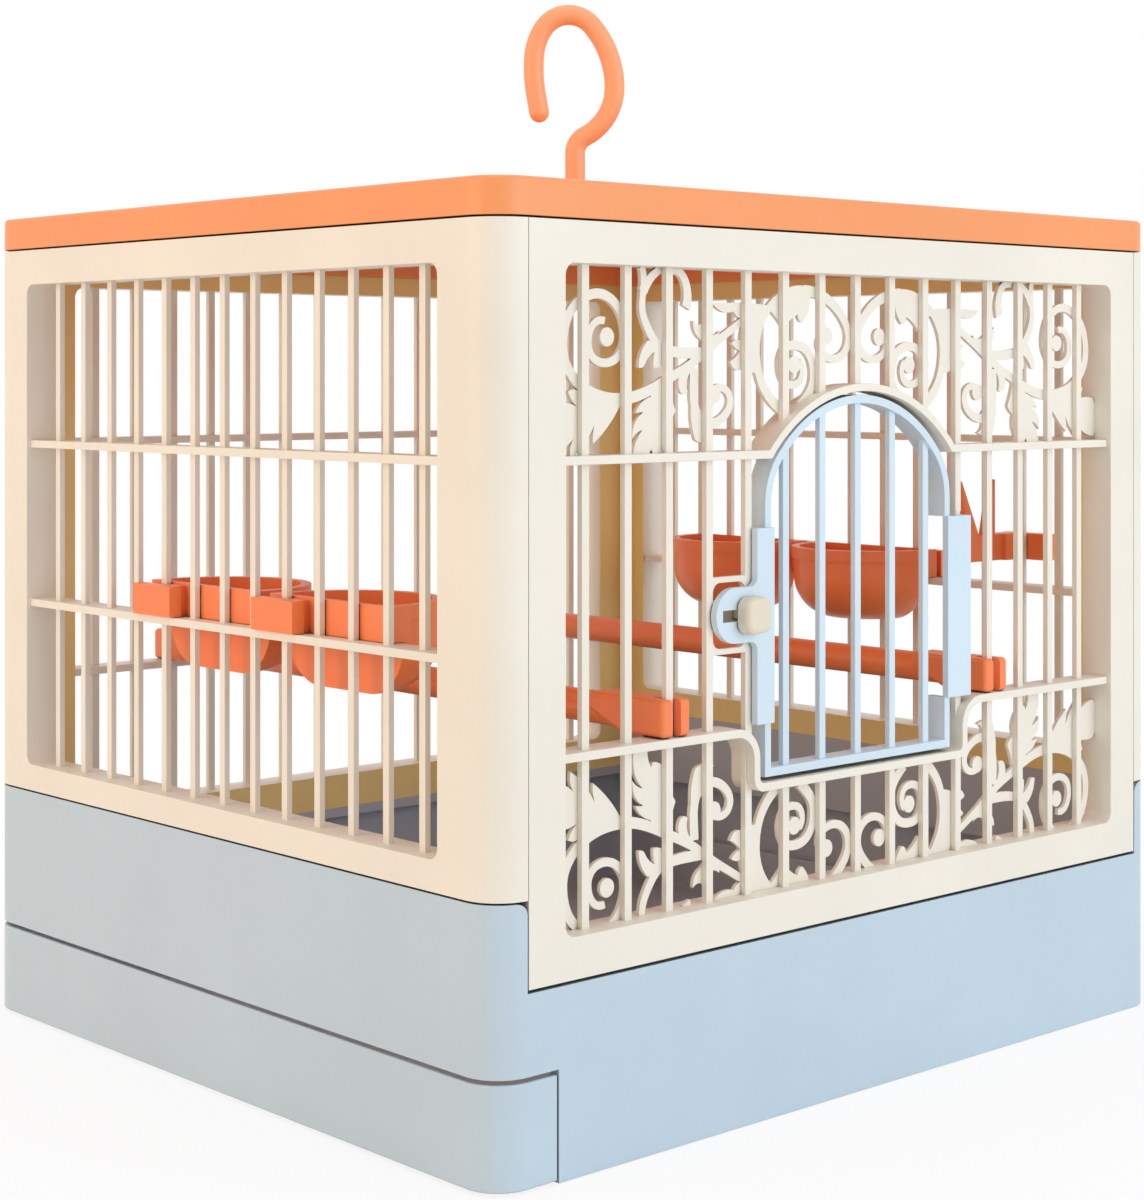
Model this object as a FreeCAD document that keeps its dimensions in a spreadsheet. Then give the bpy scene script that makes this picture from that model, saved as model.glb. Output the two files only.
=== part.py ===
"""Bird transport cage, as a parametric document of its separate pieces, in millimetres.

The origin is the middle of the underside, +Z is up, the door side faces -Y and the drawer pulls out
towards -X.
"""
import FreeCAD, Part
import math
import os
import re

from FreeCAD import Placement, Rotation, Vector

# Driving dimensions: alias, value, what it is
SIZES = [
    ("body_width", 260, "outside width, across the door side"),
    ("body_depth", 230, "outside depth, across the drawer side"),
    ("corner_radius", 10, "upright outside corners"),
    ("panel_thickness", 10.4, "thickness of the four grille panels"),
    ("panel_top", 224, "top of the panels above the floor"),
    ("base_height", 66.5, "rim of the base under the side panels"),
    ("seat_height", 45.6, "seat of the front and back panels"),
    ("seat_round", 3, "rounding of the rim beside the front and back panels"),
    ("base_wall", 3, "wall and ledge of the base"),
    ("base_floor", 2.4, "floor of the base"),
    ("fit_gap", 0.2, "gap of parts that are fitted together"),
    ("seam_gap", 0.8, "height of the shadow gap under the front and back panels"),
    ("fine_seam", 0.5, "height of the shadow gaps under the side panels and the lid"),
    ("seam_depth", 3, "depth of the shadow gaps"),
    ("slide_gap", 0.3, "gap round parts that slide"),
    ("overrun", 1, "how far cutting tools run past a face"),
    ("tongue_length", 24, "length of a panel's locating tongue"),
    ("tongue_width", 4, "width of a panel's locating tongue"),
    ("tongue_depth", 5, "depth of a panel's locating tongue"),
    ("tongue_spread", 60, "distance of the tongues from the middle of a panel"),
    ("side_stile", 20.4, "upright edges of a side panel"),
    ("side_sill", 8, "bottom edge of a side panel"),
    ("end_stile", 11.6, "upright edges of the front and back panels"),
    ("end_sill", 10.8, "bottom edge of the front and back panels"),
    ("frame_top", 10, "top edge of every panel"),
    ("window_round", 3, "rounding of the window corners"),
    ("bar_size", 2.3, "width of the bars of the panels and the door"),
    ("bar_depth", 1.6, "depth of the bars, front to back"),
    ("bar_pitch", 14, "spacing of the bars"),
    ("bar_setback", 4.9, "middle of the bars behind the panel face"),
    ("rail_size", 2.1, "height of a rail"),
    ("rail_setback", 1.3, "front edge of a rail behind the panel face"),
    ("rail_depth", 8.2, "depth of a rail, front to back"),
    ("upper_rail", 167.6, "middle of the upper rails above the floor"),
    ("side_rail", 121.4, "middle of the side panels' lower rail"),
    ("lower_rail", 98, "middle of the front and back panels' lower rail"),
    ("lid_height", 9.6, "height of the lid"),
    ("lid_plate", 3, "top plate of the lid"),
    ("lid_lip", 4, "depth of the locating lip under the lid"),
    ("lid_lip_wall", 2, "wall of the locating lip"),
    ("lid_round", 1.2, "rounding of the lid's top edge"),
    ("hook_wire", 6, "diameter of the hook"),
    ("hook_bore_gap", 0.1, "gap between the hook's stem and its bore"),
    ("hook_stem", 20.5, "straight stem of the hook above the lid"),
    ("hook_neck", 5.5, "bend radius where the stem turns out"),
    ("hook_belly", 16.4, "bend radius of the hook's lower right"),
    ("hook_flank", 28.7, "bend radius of the hook's upper right"),
    ("hook_crown", 9, "bend radius over the top of the hook"),
    ("hook_shoulder", 17.2, "bend radius of the hook's upper left"),
    ("hook_mouth", 49.2, "bend radius down to the hook's tip"),
    ("hook_tip", 4.9, "straight run at the hook's tip"),
    ("boss_width", 20, "diameter of the boss round the hook's bore"),
    ("ring_width", 15, "diameter of the ring that keeps the hook in"),
    ("ring_height", 3, "height of the ring that keeps the hook in"),
    ("drawer_height", 25.3, "top of the drawer face"),
    ("drawer_gap", 1.2, "seam over the drawer face"),
    ("drawer_end_gap", 0.4, "seam at the ends of the drawer face"),
    ("drawer_lift", 0.6, "drawer face above the floor"),
    ("drawer_wall", 2, "wall of the drawer face and the tray"),
    ("drawer_wrap", 19.5, "how far the drawer face wraps round the corners"),
    ("tray_height", 20, "height of the litter tray"),
    ("tray_end_gap", 2, "gap behind the pushed-in tray"),
    ("door_reach", 37, "half the width of the door"),
    ("door_foot", 85.6, "bottom of the door above the floor"),
    ("door_spring", 154.5, "height where the door's arch begins"),
    ("door_rise", 28, "rise of the door's arch"),
    ("door_haunch", 20, "radius of the arch's shoulders"),
    ("door_band", 2.2, "band of the door's frame"),
    ("door_setback", 3, "front of the door's frame behind the panel face"),
    ("door_depth", 6.3, "depth of the door's frame"),
    ("door_gap", 1, "gap between the door and its surround"),
    ("door_bars", 5, "bars in the door"),
    ("surround_spread", 1.8, "how much wider than the gap the room beside the door is"),
    ("surround_band", 2, "band of the arch over the door"),
    ("riser_gap", 3.55, "gap between the door and the risers beside its foot"),
    ("riser_round", 7, "round where the lower rail steps down to the sill"),
    ("sill_round", 2.5, "round where the riser meets the sill"),
    ("plate_foot", 99.4, "bottom of the door's hinge sleeve and latch plate"),
    ("plate_drop", 18.6, "top of the door's hinge sleeve and latch plate under the upper rail"),
    ("plate_width", 4.6, "width of the door's latch plate"),
    ("plate_overlap", 4.2, "how far the latch plate reaches past the door's frame"),
    ("plate_setback", 1.75, "face of the plates behind the panel face"),
    ("plate_bar_gap", 0.35, "gap between the latch plate and the bars behind it"),
    ("sleeve_width", 5.4, "width of the hinge sleeve"),
    ("sleeve_back", 2.4, "wall of the hinge sleeve behind the hinge bar"),
    ("hinge_gap", 0.07, "gap round the hinge bar in its sleeve"),
    ("tab_offset", 3.3, "middle of the latch tab above the middle of its plate"),
    ("tab_radius", 7, "rounded end of the latch tab"),
    ("tab_reach", 12, "middle of the tab's round end beyond the door's edge"),
    ("tab_fillet", 2.2, "round between the latch tab and its plate"),
    ("slot_height", 3, "height of the slot in the latch tab"),
    ("slot_length", 10.5, "length of the slot in the latch tab"),
    ("knob_length", 9, "length of the latch knob"),
    ("knob_height", 9.3, "height of the latch knob"),
    ("knob_depth", 4.2, "thickness of the latch knob"),
    ("knob_corner", 2.8, "rounding of the latch knob's corners"),
    ("knob_round", 1.7, "rounding of the latch knob's face"),
    ("knob_inset", 7.4, "middle of the knob beyond the door's edge"),
    ("shank_length", 2.2, "length of the latch shank in its slot"),
    ("latch_gap", 0.2, "gap round the sliding latch"),
    ("bolt_length", 8, "length of the latch bolt"),
    ("bolt_height", 7, "height of the latch bolt"),
    ("bolt_depth", 2.2, "thickness of the latch bolt"),
    ("bolt_offset", 4.2, "middle of the bolt beyond the middle of the knob"),
    ("bolt_seat", 0.8, "depth of the shank's seat in the bolt"),
    ("keeper_height", 1.4, "height of the webs that frame the latch"),
    ("keeper_round", 2.5, "round where the webs meet the bars"),
    ("keeper_gap", 1.3, "gap between the latch tab and the webs"),
    ("scroll_depth", 1.1, "thickness of the scrollwork"),
    ("scroll_gap", 0.05, "gap between the scrollwork and the bars"),
    ("scroll_stem", 2.9, "width of a scroll stem"),
    ("scroll_tip", 1.8, "width of a scroll stem at its tip"),
    ("scroll_bud", 2.3, "radius of the bud in a spiral"),
    ("scroll_drop", 8.8, "foot of the upper scrollwork's pattern below the window's head"),
    ("cup_radius", 24, "outside radius of a feed cup"),
    ("cup_wall", 1.8, "wall of a feed cup"),
    ("cup_rise", 8.9, "rim of the feed cups above the foot of their clips"),
    ("cup_side", 9.5, "straight side of a feed cup"),
    ("cup_bottom", 13.5, "radius round the bottom of a feed cup"),
    ("cup_lip", 0.9, "how far the cup's lip stands out"),
    ("cup_lip_height", 3.6, "height of the cup's lip"),
    ("cup_offset", 16, "middle of the cup beside the bar that carries it"),
    ("cup_standoff", 0.6, "back of the cup behind the panel"),
    ("clip_width", 18, "width of a clip block outside the bars"),
    ("clip_height", 8.3, "height of a clip block"),
    ("clip_gap", 0.3, "gap between a clip and its bar"),
    ("clip_web", 6.5, "width of a clip's web between the bars"),
    ("rest_gap", 0.15, "gap between a hung part and the rail under it"),
    ("perch_width", 8.2, "diameter of a perch"),
    ("perch_clip_width", 10, "width of a perch's end clip"),
    ("perch_clip_height", 9.3, "height of a perch's end clip"),
    ("perch_clip_length", 27, "length of a perch's end clip"),
    ("perch_clip_round", 1.3, "rounding of a perch's end clip"),
    ("perch_taper", 12, "length of the slope under the inner end of a perch's clip"),
    ("perch_taper_rise", 5, "rise of the slope under the inner end of a perch's clip"),
    ("perch_end_setback", 1.6, "end of a perch behind the panel face"),
    ("perch_grip", 2.6, "wall between a perch's slot and its shoulder"),
    ("fork_foot", 130, "bottom of the fruit fork's clip above the floor"),
    ("fork_prong", 17, "height of the fruit fork's prongs"),
    ("fork_inset", 3, "distance of the fork's first prong from the panel side"),
    ("fork_reach", 8, "distance of the fork's second prong from the first"),
    ("fork_lean", 8.4, "how far the fork's second prong leans into the cage"),
    ("fork_root", 5, "width of a prong at its root"),
    ("fork_point", 1.2, "width of a prong at its point"),
    ("fork_blade", 3, "thickness of the fork's prongs"),
]

# How closely an edge's place has to match when it is picked
TOLERANCE = 1e-4

# Turns of the hook's bends, in degrees
HOOK_NECK_TURN = 62.4
HOOK_FLANK_TURN = 40.3
HOOK_CROWN_TURN = 105.9
HOOK_SHOULDER_TURN = 30
HOOK_MOUTH_TURN = 13.9
HOOK_HEADING = -42.3

# Which bar carries each hung piece: in steps from the middle bar, from the bar at the door's edge on that
# side, or from the last bar
CUP_STEPS = {"front": -2, "rear": 2}
PERCH_DOOR_STEPS = {"perch_left": -2, "perch_right": 1}
FORK_END_STEPS = 1

# The scrollwork's pattern, as shares of half the window's width from its edge and of the lower band's
# height from its foot. Stems run from their thick end to their tip.
STEM_SHARES = [
    [(0.24, 0.568), (0.19, 0.572), (0.13, 0.54), (0.075, 0.455), (0.044, 0.33), (0.042, 0.2), (0.06, 0.07),
     (0.1, -0.02), (0.15, -0.05), (0.195, 0.0), (0.224, 0.12), (0.224, 0.25), (0.198, 0.335),
     (0.157, 0.358), (0.125, 0.315), (0.116, 0.22), (0.132, 0.13), (0.165, 0.11)],
    [(0.19, 0.572), (0.24, 0.568), (0.3, 0.527), (0.338, 0.485), (0.376, 0.44), (0.42, 0.388), (0.47, 0.31),
     (0.52, 0.225), (0.56, 0.165), (0.61, 0.09), (0.66, 0.03)],
    [(0.48, 0.3), (0.42, 0.296), (0.375, 0.288), (0.335, 0.258), (0.3, 0.155), (0.281, 0.04), (0.284, -0.08),
     (0.28, -0.22)],
    [(0.283, -0.07), (0.306, -0.15), (0.35, -0.22)],
    [(0.42, 0.02), (0.423, -0.1), (0.405, -0.185), (0.37, -0.2)],
    [(0.447, 0.39), (0.445, 0.54), (0.455, 0.66), (0.483, 0.727), (0.52, 0.722), (0.552, 0.67), (0.566, 0.6),
     (0.557, 0.535), (0.53, 0.508), (0.508, 0.53)],
    [(0.735, 0.64), (0.695, 0.56), (0.667, 0.45), (0.655, 0.32), (0.658, 0.19), (0.678, 0.07), (0.72, -0.04),
     (0.78, -0.11), (0.85, -0.1)],
    [(0.806, 0.63), (0.832, 0.57), (0.852, 0.49), (0.855, 0.41), (0.846, 0.325), (0.823, 0.262), (0.79, 0.24),
     (0.758, 0.257), (0.74, 0.32), (0.739, 0.41), (0.754, 0.475), (0.781, 0.494), (0.806, 0.47),
     (0.815, 0.41), (0.805, 0.345)],
    [(0.82, -0.11), (0.88, -0.085), (0.927, -0.025), (0.962, 0.06), (0.982, 0.16), (0.976, 0.255),
     (0.953, 0.312), (0.922, 0.327), (0.893, 0.303), (0.876, 0.245), (0.884, 0.185)],
]
BUD_SHARES = [(0.172, 0.205), (0.512, 0.55), (0.787, 0.365), (0.902, 0.18)]

# Leaf outlines in the same shares: corners, with a place on the curved edge between each two
LEAF_SHARES = [
    [(0.09, 0.53), (0.07, 0.515), (0.055, 0.527), (0.064, 0.572), (0.082, 0.617), (0.048, 0.592), (0.01, 0.6),
     (-0.01, 0.73), (0.005, 0.875), (0.045, 0.852), (0.073, 0.8), (0.062, 0.855), (0.063, 0.925),
     (0.1, 0.845), (0.134, 0.725), (0.129, 0.78), (0.129, 0.838), (0.167, 0.755), (0.215, 0.6),
     (0.15, 0.56)],
    [(0.306, 0.562), (0.278, 0.597), (0.259, 0.662), (0.27, 0.655), (0.284, 0.657), (0.257, 0.72),
     (0.25, 0.815), (0.262, 0.782), (0.281, 0.762), (0.261, 0.83), (0.255, 1.0), (0.277, 1.01), (0.297, 0.99),
     (0.299, 0.93), (0.309, 0.877), (0.311, 0.893), (0.318, 0.908), (0.362, 0.82), (0.362, 0.71),
     (0.376, 0.685), (0.386, 0.648), (0.372, 0.56), (0.362, 0.47), (0.33, 0.51)],
    [(0.402, 0.42), (0.395, 0.47), (0.402, 0.535), (0.413, 0.548), (0.425, 0.535), (0.422, 0.48),
     (0.44, 0.4), (0.42, 0.385)],
    [(0.436, 0.62), (0.438, 0.73), (0.45, 0.83), (0.48, 0.85), (0.513, 0.828), (0.492, 0.78), (0.5, 0.72),
     (0.47, 0.65)],
    [(0.3, 0.22), (0.28, 0.28), (0.269, 0.385), (0.278, 0.388), (0.288, 0.37), (0.3, 0.325), (0.335, 0.28),
     (0.32, 0.25)],
    [(0.322, 0.27), (0.316, 0.33), (0.316, 0.388), (0.335, 0.385), (0.35, 0.37), (0.343, 0.32),
     (0.355, 0.275), (0.34, 0.265)],
    [(0.47, 0.215), (0.45, 0.175), (0.443, 0.1), (0.458, 0.122), (0.475, 0.11), (0.49, 0.17), (0.53, 0.16),
     (0.51, 0.24)],
    [(0.507, -0.01), (0.533, 0.034), (0.577, 0.035), (0.585, 0.06), (0.62, 0.07), (0.606, 0.14), (0.6, 0.215),
     (0.583, 0.214), (0.57, 0.232), (0.588, 0.27), (0.6, 0.28), (0.578, 0.33), (0.566, 0.345),
     (0.578, 0.392), (0.61, 0.384), (0.63, 0.41), (0.66, 0.42), (0.655, 0.2), (0.69, -0.01), (0.6, -0.02)],
    [(0.7, 0.02), (0.735, 0.1), (0.75, 0.14), (0.768, 0.09), (0.799, 0.045), (0.804, 0.08), (0.816, 0.093),
     (0.83, 0.05), (0.84, -0.1), (0.77, -0.08)],
]

doc = FreeCAD.newDocument("bird_transport_cage")
sheet = doc.addObject("Spreadsheet::Sheet", "sizes")
for row, (alias, value, note) in enumerate(SIZES, start=1):
    sheet.set("A%d" % row, note)
    sheet.set("B%d" % row, str(value))
    sheet.setAlias("B%d" % row, alias)
doc.recompute()

size = {alias: float(sheet.get(alias)) for alias, _, _ in SIZES}

# Names for longer expressions over the sheet
DERIVED = {
    "tab_height": "(plate_foot + upper_rail - plate_drop)/2 + tab_offset",
    "side_bar_steps": "floor((body_depth/2 - side_stile - bar_size/2)/bar_pitch)",
    "end_bar_steps": "floor((body_width/2 - panel_thickness - end_stile - bar_size/2)/bar_pitch)",
}
parts = []


def bind(text):
    """An expression over the sheet, from one written in its aliases and in the names for longer ones."""
    for name, meaning in DERIVED.items():
        text = re.sub(r"\b%s\b" % name, "(%s)" % meaning, text)
    return re.sub(r"\b[a-z_]+\b", lambda word: "sizes." * (word.group(0) in size) + word.group(0), text)


def keep(piece, name, turn=0):
    """Name a finished piece, and turn it about the cage's upright axis."""
    piece.Label = name
    piece.Placement = Placement(Vector(), Rotation(Vector(0, 0, 1), turn))
    parts.append(piece)
    return piece


def shaped(name, shape):
    """A piece whose shape comes from Part's own functions."""
    piece = doc.addObject("Part::Feature", name)
    piece.Shape = shape
    return piece


def new_body(name):
    return doc.addObject("PartDesign::Body", name)


def box(body, name, x, y, z, cut=False):
    """An additive or subtractive block between two places along each axis."""
    kind = "PartDesign::SubtractiveBox" if cut else "PartDesign::AdditiveBox"
    block = body.newObject(kind, name)
    for prop, axis, (low, high) in (("Length", "x", x), ("Width", "y", y), ("Height", "z", z)):
        block.setExpression(prop, bind("(%s) - (%s)" % (high, low)))
        block.setExpression("Placement.Base." + axis, bind(low))
    return block


def upright_round(body, name, x, y, z, radius, cut=False):
    """An additive or subtractive upright cylinder."""
    kind = "PartDesign::SubtractiveCylinder" if cut else "PartDesign::AdditiveCylinder"
    drum = body.newObject(kind, name)
    drum.setExpression("Radius", bind(radius))
    drum.setExpression("Height", bind("(%s) - (%s)" % (z[1], z[0])))
    drum.setExpression("Placement.Base.x", bind(x))
    drum.setExpression("Placement.Base.y", bind(y))
    drum.setExpression("Placement.Base.z", bind(z[0]))
    return drum


def round_edges(body, name, radius, wanted):
    """Round the edges of a body that a test picks by their geometry."""
    doc.recompute()
    base = body.Tip
    edges = ["Edge%d" % (i + 1) for i, edge in enumerate(base.Shape.Edges) if wanted(edge)]
    rounding = body.newObject("PartDesign::Fillet", name)
    rounding.Base = (base, edges)
    rounding.setExpression("Radius", bind(radius))
    return rounding


def row_of(body, name, original, role, spacing, steps):
    """A straight row of copies of one feature, as many steps to each side of the middle."""
    pattern = body.newObject("PartDesign::LinearPattern", name)
    pattern.Originals = [original]
    axis = [plane for plane in body.Origin.OriginFeatures if plane.Role == role][0]
    pattern.Direction = (axis, [""])
    pattern.setExpression("Length", bind("%s * 2 * %s" % (spacing, steps)))
    pattern.setExpression("Occurrences", bind("2 * %s + 1" % steps))
    body.Tip = pattern
    return pattern


def near(a, b):
    return abs(a - b) < TOLERANCE


def at(edge, **place):
    """Whether every point of an edge lies at the places given along x, y and z."""
    return all(near(getattr(vertex, axis.upper()), value)
               for vertex in edge.Vertexes for axis, value in place.items())


def corner_edge(edge, x, y):
    """Whether an edge is upright and stands x and y away from the middle, on any side."""
    ends = edge.Vertexes
    if len(ends) < 2 or near(ends[0].Z, ends[1].Z):
        return False
    return all(near(abs(end.X), x) and near(abs(end.Y), y) for end in ends)


def upright_at_y(edge, y):
    """Whether an edge is upright and stands y away from the middle, front or back."""
    ends = edge.Vertexes
    return len(ends) == 2 and not near(ends[0].Z, ends[1].Z) and all(near(abs(end.Y), y) for end in ends)


half_width = size["body_width"] / 2
half_depth = size["body_depth"] / 2
inner_x = half_width - size["panel_thickness"]
front_face = -half_depth
bar_line = front_face + size["bar_setback"]
window_reach = inner_x - size["end_stile"]
window_foot = size["seat_height"] + size["end_sill"]
window_head = size["panel_top"] - size["frame_top"]
half_bar = size["bar_size"] / 2
bar_back = bar_line + size["bar_depth"] / 2
bar_y = (bar_line - size["bar_depth"] / 2, bar_back)
half_rail = size["rail_size"] / 2
plate_head = size["upper_rail"] - size["plate_drop"]
tab_height = (size["plate_foot"] + plate_head) / 2 + size["tab_offset"]
side_bar_steps = math.floor((half_depth - size["side_stile"] - half_bar) / size["bar_pitch"])
end_bar_steps = math.floor((window_reach - half_bar) / size["bar_pitch"])


def base():
    body = new_body("base")
    box(body, "base_block", ("-body_width/2", "body_width/2"), ("-body_depth/2", "body_depth/2"),
        ("0", "base_height"))
    round_edges(body, "base_corners", "corner_radius", lambda e: corner_edge(e, half_width, half_depth))
    box(body, "base_well", ("-body_width/2 + panel_thickness", "body_width/2 - panel_thickness"),
        ("-body_depth/2 + panel_thickness", "body_depth/2 - panel_thickness"),
        ("base_floor", "base_height + overrun"), cut=True)
    box(body, "base_cavity", ("-body_width/2 + base_wall", "body_width/2 - base_wall"),
        ("-body_depth/2 + base_wall", "body_depth/2 - base_wall"),
        ("base_floor", "seat_height - base_wall"), cut=True)
    wall_x = half_width - size["base_wall"]
    wall_y = half_depth - size["base_wall"]
    round_edges(body, "cavity_corners", "corner_radius - base_wall",
                lambda e: corner_edge(e, wall_x, wall_y))
    seat_x = ("-body_width/2 + panel_thickness - fit_gap", "body_width/2 - panel_thickness + fit_gap")
    box(body, "front_seat", seat_x, ("-body_depth/2 - overrun", "-body_depth/2 + panel_thickness + overrun"),
        ("seat_height", "base_height + overrun"), cut=True)
    box(body, "back_seat", seat_x, ("body_depth/2 - panel_thickness - overrun", "body_depth/2 + overrun"),
        ("seat_height", "base_height + overrun"), cut=True)
    seat_edge = inner_x + size["fit_gap"]
    round_edges(body, "seat_rounds", "seat_round",
                lambda e: any(at(e, x=side * seat_edge, z=size["base_height"]) for side in (-1, 1)))
    box(body, "drawer_mouth", ("-body_width/2 - overrun", "-body_width/2 + drawer_wrap + drawer_end_gap"),
        ("-body_depth/2 - overrun", "body_depth/2 + overrun"), ("-overrun", "drawer_height + drawer_gap"),
        cut=True)
    tongue = "tongue_width/2 + fit_gap"
    for side in ("-", ""):
        for end in ("-", ""):
            box(body, "side_slot", ("%s(body_width/2 - panel_thickness/2) - (%s)" % (side, tongue),
                                    "%s(body_width/2 - panel_thickness/2) + %s" % (side, tongue)),
                ("%stongue_spread - tongue_length/2 - fit_gap" % end,
                 "%stongue_spread + tongue_length/2 + fit_gap" % end),
                ("base_height - tongue_depth - fit_gap", "base_height + overrun"), cut=True)
            box(body, "end_slot", ("%stongue_spread - tongue_length/2 - fit_gap" % end,
                                   "%stongue_spread + tongue_length/2 + fit_gap" % end),
                ("%s(body_depth/2 - panel_thickness/2) - (%s)" % (side, tongue),
                 "%s(body_depth/2 - panel_thickness/2) + %s" % (side, tongue)),
                ("seat_height - tongue_depth - fit_gap", "seat_height + overrun"), cut=True)
    return keep(body, "base")


def drawer_front():
    body = new_body("drawer_front")
    height = ("drawer_lift", "drawer_height")
    box(body, "face_block", ("-body_width/2", "-body_width/2 + drawer_wrap"),
        ("-body_depth/2", "body_depth/2"), height)
    box(body, "face_hollow", ("-body_width/2 + drawer_wall", "-body_width/2 + drawer_wrap + overrun"),
        ("-body_depth/2 + drawer_wall", "body_depth/2 - drawer_wall"),
        ("drawer_lift - overrun", "drawer_height + overrun"), cut=True)
    wall_x = half_width - size["drawer_wall"]
    wall_y = half_depth - size["drawer_wall"]
    round_edges(body, "hollow_corners", "corner_radius - drawer_wall",
                lambda e: corner_edge(e, wall_x, wall_y))
    round_edges(body, "face_corners", "corner_radius",
                lambda e: corner_edge(e, half_width, half_depth))
    return keep(body, "drawer_front")


def litter_tray():
    body = new_body("litter_tray")
    side = "body_depth/2 - base_wall - slide_gap"
    back = "body_width/2 - base_wall - tray_end_gap"
    foot = "base_floor + slide_gap"
    box(body, "tray_block", ("-body_width/2 + drawer_wall", back), ("-(%s)" % side, side),
        (foot, foot + " + tray_height"))
    box(body, "tray_hollow", ("-body_width/2 + 2*drawer_wall", back + " - drawer_wall"),
        ("-(%s) + drawer_wall" % side, side + " - drawer_wall"),
        (foot + " + drawer_wall", foot + " + tray_height + overrun"), cut=True)
    outer_y = half_depth - size["base_wall"] - size["slide_gap"]
    inner_y = outer_y - size["drawer_wall"]
    round_edges(body, "hollow_corners", "corner_radius - 2*drawer_wall", lambda e: upright_at_y(e, inner_y))
    round_edges(body, "tray_corners", "corner_radius - drawer_wall", lambda e: upright_at_y(e, outer_y))
    return keep(body, "litter_tray")


def tongues(body, foot, along_x):
    """Two tongues under a panel, which seat in the base's rim."""
    face = "-body_depth/2" if along_x else "-body_width/2"
    across = (face + " + panel_thickness/2 - tongue_width/2", face + " + panel_thickness/2 + tongue_width/2")
    for end in ("-", ""):
        run = ("%stongue_spread - tongue_length/2" % end, "%stongue_spread + tongue_length/2" % end)
        x, y = (run, across) if along_x else (across, run)
        box(body, "tongue", x, y, (foot + " - tongue_depth", foot))


def side_panel(name, turn):
    body = new_body(name)
    thick = ("-body_width/2", "-body_width/2 + panel_thickness")
    window = ("-body_depth/2 + side_stile", "body_depth/2 - side_stile")
    height = ("base_height + side_sill", "panel_top - frame_top")
    box(body, "side_foot", (thick[0] + " + seam_depth", thick[1]),
        ("-body_depth/2 + seam_depth", "body_depth/2 - seam_depth"),
        ("base_height", "base_height + fine_seam"))
    round_edges(body, "foot_corners", "corner_radius - seam_depth",
                lambda e: corner_edge(e, half_width - size["seam_depth"], half_depth - size["seam_depth"]))
    box(body, "side_slab", thick, ("-body_depth/2", "body_depth/2"), ("base_height + fine_seam", "panel_top"))
    round_edges(body, "side_corners", "corner_radius",
                lambda e: corner_edge(e, half_width, half_depth))
    box(body, "side_window", (thick[0] + " - overrun", thick[1] + " + overrun"), window, height, cut=True)
    reach = half_depth - size["side_stile"]
    levels = (size["base_height"] + size["side_sill"], window_head)
    round_edges(body, "window_corners", "window_round",
                lambda e: any(at(e, y=side * reach, z=level) for side in (-1, 1) for level in levels))
    for rail in ("upper_rail", "side_rail"):
        box(body, rail, (thick[0] + " + rail_setback", thick[0] + " + rail_setback + rail_depth"),
            (window[0] + " - overrun", window[1] + " + overrun"),
            (rail + " - rail_size/2", rail + " + rail_size/2"))
    tongues(body, "base_height", along_x=False)
    middle = thick[0] + " + bar_setback"
    first = "-bar_pitch*side_bar_steps"
    bar = box(body, "side_bar", (middle + " - bar_depth/2", middle + " + bar_depth/2"),
              (first + " - bar_size/2", first + " + bar_size/2"),
              (height[0] + " - overrun", height[1] + " + overrun"))
    row_of(body, "side_bar_row", bar, "Y_Axis", "bar_pitch", "side_bar_steps")
    return keep(body, name, turn)


def end_frame(body):
    """The frame of the front or back panel, modelled at the front."""
    thick = ("-body_depth/2", "-body_depth/2 + panel_thickness")
    reach = "body_width/2 - panel_thickness - fit_gap"
    window = "body_width/2 - panel_thickness - end_stile"
    box(body, "end_slab", ("-(%s)" % reach, reach), thick, ("seat_height", "panel_top"))
    box(body, "end_window", ("-(%s)" % window, window),
        (thick[0] + " - overrun", thick[1] + " + overrun"),
        ("seat_height + end_sill", "panel_top - frame_top"), cut=True)
    round_edges(body, "window_corners", "window_round",
                lambda e: any(at(e, x=side * window_reach, z=level)
                              for side in (-1, 1) for level in (window_foot, window_head)))
    box(body, "end_seam", ("-(%s) - overrun" % reach, reach + " + overrun"),
        (thick[0] + " - overrun", thick[0] + " + seam_depth"),
        ("seat_height - overrun", "seat_height + seam_gap"), cut=True)
    tongues(body, "seat_height", along_x=True)


def front_frame():
    body = new_body("front_frame")
    end_frame(body)
    return keep(body, "front_frame")


def back_panel():
    body = new_body("back_panel")
    end_frame(body)
    front = "-body_depth/2"
    reach = "body_width/2 - panel_thickness - end_stile + overrun"
    for rail in ("upper_rail", "lower_rail"):
        box(body, rail, ("-(%s)" % reach, reach),
            (front + " + rail_setback", front + " + rail_setback + rail_depth"),
            (rail + " - rail_size/2", rail + " + rail_size/2"))
    first = "-bar_pitch*end_bar_steps"
    bar = box(body, "end_bar", (first + " - bar_size/2", first + " + bar_size/2"),
              (front + " + bar_setback - bar_depth/2", front + " + bar_setback + bar_depth/2"),
              ("seat_height + end_sill - overrun", "panel_top - frame_top + overrun"))
    row_of(body, "end_bar_row", bar, "X_Axis", "bar_pitch", "end_bar_steps")
    return keep(body, "back_panel", 180)


def block(x, y, z):
    """A plain block between two places along each axis."""
    return Part.makeBox(x[1] - x[0], y[1] - y[0], z[1] - z[0], Vector(x[0], y[0], z[0]))


def bend(centre, radius, start, end):
    """An arc in an upright plane facing the front, between two angles from +X."""
    points = [centre + Vector(radius * math.cos(a), 0, radius * math.sin(a))
              for a in (start, (start + end) / 2, end)]
    return Part.Arc(*points).toShape()


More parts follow.
